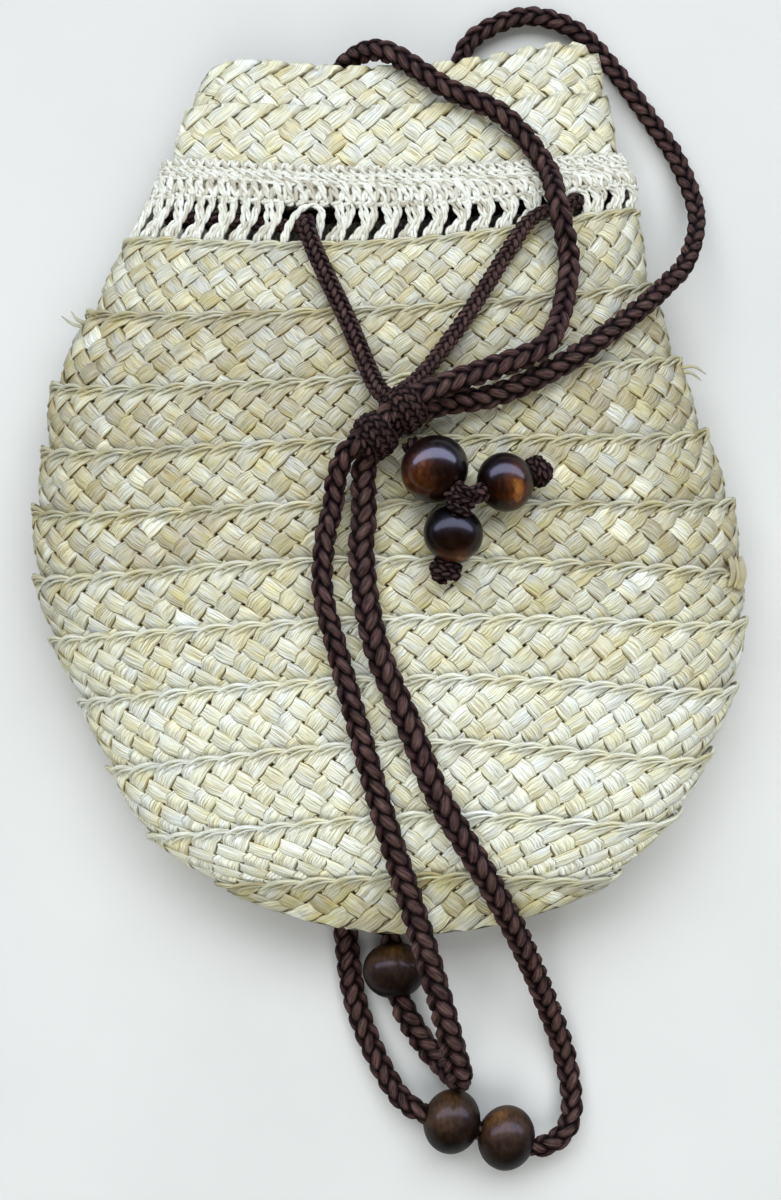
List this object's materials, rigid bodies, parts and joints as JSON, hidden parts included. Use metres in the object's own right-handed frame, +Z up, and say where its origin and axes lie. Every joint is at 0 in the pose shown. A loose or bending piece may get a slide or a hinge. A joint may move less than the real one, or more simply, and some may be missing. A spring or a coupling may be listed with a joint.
{
  "type": "corn husk backpack",
  "caption": "Flat gourd-shaped drawstring backpack of plaited corn husk rows with a crocheted band, braided cord straps and wooden beads, lying on its back.",
  "frame": {"origin": "on the ground under the middle of the bag, cords and beads left out", "axes": "+Z up out of the bag's front, +Y along the bag towards its mouth, +X to the right seen from the front"},
  "size_m": [0.2291, 0.3864, 0.0736],
  "materials": {
    "husk": "plaited dry corn husk",
    "string": "crocheted cream string",
    "braid": "braided dark brown cotton cord",
    "wood": "polished dark brown wood"
  },
  "bodies": {
    "root": {"collar_plait_upper": "husk", "collar_plait_lower": "husk", "crochet_band": "string", "plait_row_01": "husk", "plait_row_02": "husk", "plait_row_03": "husk", "plait_row_04": "husk", "plait_row_05": "husk", "plait_row_06": "husk", "plait_row_07": "husk", "plait_row_08": "husk", "plait_row_09": "husk", "plait_row_10": "husk", "plait_row_11": "husk", "strap_left": "braid", "strap_left_bead_1": "wood", "strap_left_bead_2": "wood", "strap_right": "braid", "strap_right_bead_1": "wood", "strap_right_bead_2": "wood", "drawstring": "braid", "tie_knot": "braid", "tie_cord": "braid", "slider_bead": "wood", "tie_join_knot": "braid", "tail_cord_a": "braid", "tail_bead_a": "wood", "tail_knot_a": "braid", "tail_cord_b": "braid", "tail_bead_b": "wood", "tail_knot_b": "braid"}
  },
  "joints": []
}
